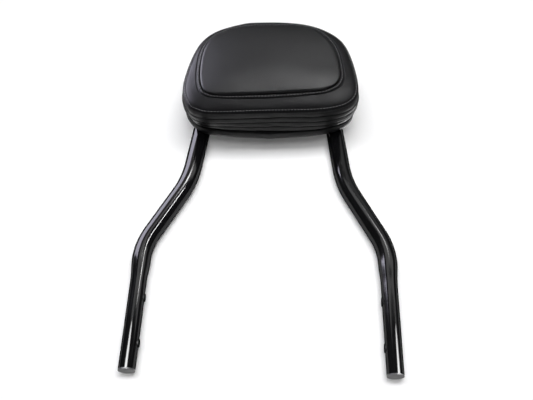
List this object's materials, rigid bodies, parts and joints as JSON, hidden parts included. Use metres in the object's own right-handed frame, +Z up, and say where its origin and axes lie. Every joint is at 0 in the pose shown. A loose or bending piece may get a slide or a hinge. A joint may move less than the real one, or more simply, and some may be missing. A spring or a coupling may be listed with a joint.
{
  "type": "motorcycle sissy bar with backrest pad",
  "caption": "Bent black tube hoop with swaged lower legs and threaded bosses, carrying a stitched, crowned vinyl backrest pad on a welded plate.",
  "frame": {"origin": "half way between the centre lines of the two lower legs, in the plane of their ends", "axes": "+Z up along the legs, -Y the way the pad faces, +X towards the right-hand leg seen from the pad's side"},
  "size_m": [0.3102, 0.0931, 0.4505],
  "materials": {
    "black_gloss_paint": "gloss powder coat",
    "black_plastic": "moulded, matt",
    "black_vinyl": "grained vinyl, satin",
    "plywood": "raw",
    "foam": "open cell foam",
    "zinc_steel": "zinc plated",
    "bright_steel": "bright wire"
  },
  "bodies": {
    "root": {"hoop_tube": "black_gloss_paint", "mounting_plate": "black_gloss_paint", "weld_beads": "black_gloss_paint", "left_end_plug": "black_plastic", "right_end_plug": "black_plastic", "lower_left_bung": "black_gloss_paint", "upper_left_bung": "black_gloss_paint", "lower_right_bung": "black_gloss_paint", "upper_right_bung": "black_gloss_paint", "back_panel_board": "plywood", "back_panel_cover": "black_vinyl", "base_board": "plywood", "foam_core": "foam", "side_band": "black_vinyl", "border_panel": "black_vinyl", "center_panel": "black_vinyl", "hem_staples": "bright_steel", "lower_left_pad_bolt": "zinc_steel", "lower_left_spring_washer": "zinc_steel", "lower_left_flat_washer": "zinc_steel", "lower_left_spacer": "zinc_steel", "lower_left_tee_nut": "zinc_steel", "upper_left_pad_bolt": "zinc_steel", "upper_left_spring_washer": "zinc_steel", "upper_left_flat_washer": "zinc_steel", "upper_left_spacer": "zinc_steel", "upper_left_tee_nut": "zinc_steel", "lower_right_pad_bolt": "zinc_steel", "lower_right_spring_washer": "zinc_steel", "lower_right_flat_washer": "zinc_steel", "lower_right_spacer": "zinc_steel", "lower_right_tee_nut": "zinc_steel", "upper_right_pad_bolt": "zinc_steel", "upper_right_spring_washer": "zinc_steel", "upper_right_flat_washer": "zinc_steel", "upper_right_spacer": "zinc_steel", "upper_right_tee_nut": "zinc_steel"}
  },
  "joints": []
}
